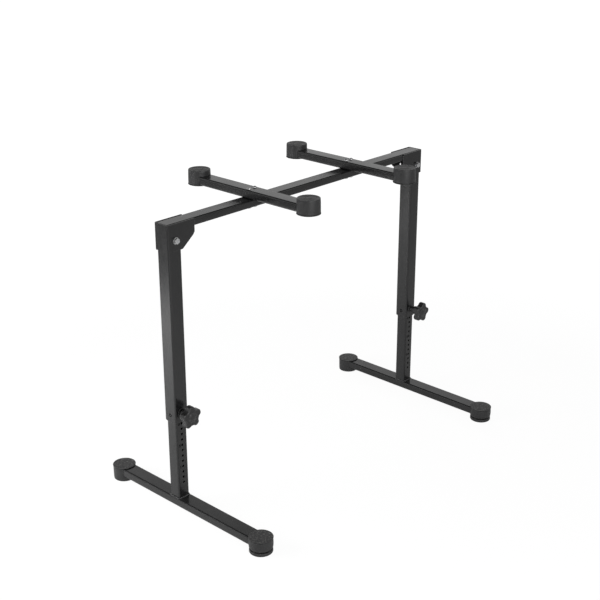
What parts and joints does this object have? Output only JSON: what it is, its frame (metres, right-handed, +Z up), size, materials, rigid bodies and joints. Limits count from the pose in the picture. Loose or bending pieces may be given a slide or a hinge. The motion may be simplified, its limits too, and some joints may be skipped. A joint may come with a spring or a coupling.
{
  "type": "table keyboard stand",
  "caption": "Table style stand for a keyboard: folding T legs that adjust in height, a crossbar and round capped support arms.",
  "frame": {"origin": "on the floor, midway between the four feet", "axes": "+X along the crossbar to the right leg as the player sees it, +Y away from the player, +Z up"},
  "size_m": [0.9672, 0.5648, 0.79],
  "materials": {
    "black_steel": "satin black powder coat",
    "cap_rubber": "matt black moulded rubber",
    "knob_plastic": "matt black moulded plastic",
    "sleeve_plastic": "smooth black plastic",
    "zinc_steel": "bright zinc plate"
  },
  "bodies": {
    "top_frame": {"crossbar": "black_steel", "support_arm_left": "black_steel", "arm_cap_front_left": "cap_rubber", "arm_cap_back_left": "cap_rubber", "arm_bolt_left_1": "zinc_steel", "arm_washer_left_1": "zinc_steel", "arm_nut_left_1": "zinc_steel", "arm_bolt_left_2": "zinc_steel", "arm_washer_left_2": "zinc_steel", "arm_nut_left_2": "zinc_steel", "hinge_bracket_left": "black_steel", "hinge_bolt_left": "zinc_steel", "hinge_nut_left": "zinc_steel", "hinge_washer_front_left": "zinc_steel", "hinge_washer_back_left": "zinc_steel", "support_arm_right": "black_steel", "arm_cap_front_right": "cap_rubber", "arm_cap_back_right": "cap_rubber", "arm_bolt_right_1": "zinc_steel", "arm_washer_right_1": "zinc_steel", "arm_nut_right_1": "zinc_steel", "arm_bolt_right_2": "zinc_steel", "arm_washer_right_2": "zinc_steel", "arm_nut_right_2": "zinc_steel", "hinge_bracket_right": "black_steel", "hinge_bolt_right": "zinc_steel", "hinge_nut_right": "zinc_steel", "hinge_washer_front_right": "zinc_steel", "hinge_washer_back_right": "zinc_steel"},
    "upper_leg_left": {"outer_tube_left": "black_steel", "guide_sleeve_left": "sleeve_plastic", "stud_boss_left": "black_steel", "pivot_sleeve_left": "zinc_steel", "lock_spring_left": "zinc_steel"},
    "snap_button_left": {"lock_button_left": "zinc_steel"},
    "lower_leg_left": {"lower_tube_left": "black_steel", "slide_plug_left": "sleeve_plastic", "floor_bar_left": "black_steel", "foot_cap_front_left": "cap_rubber", "foot_cap_back_left": "cap_rubber"},
    "levelling_foot_left": {"levelling_disc_left": "cap_rubber"},
    "stud_left": {"lock_stud_left": "zinc_steel"},
    "star_knob_left": {"knob_left": "knob_plastic", "knob_cap_left": "knob_plastic"},
    "upper_leg_right": {"outer_tube_right": "black_steel", "guide_sleeve_right": "sleeve_plastic", "stud_boss_right": "black_steel", "pivot_sleeve_right": "zinc_steel", "lock_spring_right": "zinc_steel"},
    "snap_button_right": {"lock_button_right": "zinc_steel"},
    "lower_leg_right": {"lower_tube_right": "black_steel", "slide_plug_right": "sleeve_plastic", "floor_bar_right": "black_steel", "foot_cap_front_right": "cap_rubber", "foot_cap_back_right": "cap_rubber"},
    "levelling_foot_right": {"levelling_disc_right": "cap_rubber"},
    "stud_right": {"lock_stud_right": "zinc_steel"},
    "star_knob_right": {"knob_right": "knob_plastic", "knob_cap_right": "knob_plastic"}
  },
  "joints": [
    {"name": "fold_left", "type": "hinge", "parent": "top_frame", "child": "upper_leg_left", "pos_m": [-0.4535, 0.033, 0.7134], "axis": [0, -1, 0], "range_deg": [0, 87.5]},
    {"name": "height_left", "type": "slide", "parent": "upper_leg_left", "child": "lower_leg_left", "axis": [0, 0, 1], "range_m": [-0.1639, 0.1937]},
    {"name": "button_left", "type": "slide", "parent": "upper_leg_left", "child": "snap_button_left", "axis": [0, 1, 0], "range_m": [0, 0.0055], "stiffness_N_per_m": 500, "springref_m": 0.0055},
    {"name": "stud_travel_left", "type": "slide", "parent": "upper_leg_left", "child": "stud_left", "axis": [0, -1, 0], "range_m": [-0.0034, 0.0021]},
    {"name": "knob_turn_left", "type": "hinge", "parent": "stud_left", "child": "star_knob_left", "pos_m": [-0.4535, 0.013, 0.2712], "axis": [0, -1, 0], "range_deg": [-972, 594]},
    {"name": "level_left", "type": "slide", "parent": "lower_leg_left", "child": "levelling_foot_left", "axis": [0, 0, -1], "range_m": [0, 0.008]},
    {"name": "fold_right", "type": "hinge", "parent": "top_frame", "child": "upper_leg_right", "pos_m": [0.4535, 0.033, 0.7134], "axis": [0, 1, 0], "range_deg": [0, 80]},
    {"name": "height_right", "type": "slide", "parent": "upper_leg_right", "child": "lower_leg_right", "axis": [0, 0, 1], "range_m": [-0.1639, 0.1937]},
    {"name": "button_right", "type": "slide", "parent": "upper_leg_right", "child": "snap_button_right", "axis": [0, 1, 0], "range_m": [0, 0.0055], "stiffness_N_per_m": 500, "springref_m": 0.0055},
    {"name": "stud_travel_right", "type": "slide", "parent": "upper_leg_right", "child": "stud_right", "axis": [0, -1, 0], "range_m": [-0.0104, 0.0021]},
    {"name": "knob_turn_right", "type": "hinge", "parent": "stud_right", "child": "star_knob_right", "pos_m": [0.4535, 0.013, 0.2712], "axis": [0, -1, 0], "range_deg": [-2979, 594]},
    {"name": "level_right", "type": "slide", "parent": "lower_leg_right", "child": "levelling_foot_right", "axis": [0, 0, -1], "range_m": [0, 0.008]}
  ],
  "couplings": [
    {"joint": "stud_travel_left", "follows": "knob_turn_left", "m_per_rad": 0.0002},
    {"joint": "stud_travel_right", "follows": "knob_turn_right", "m_per_rad": 0.0002}
  ]
}
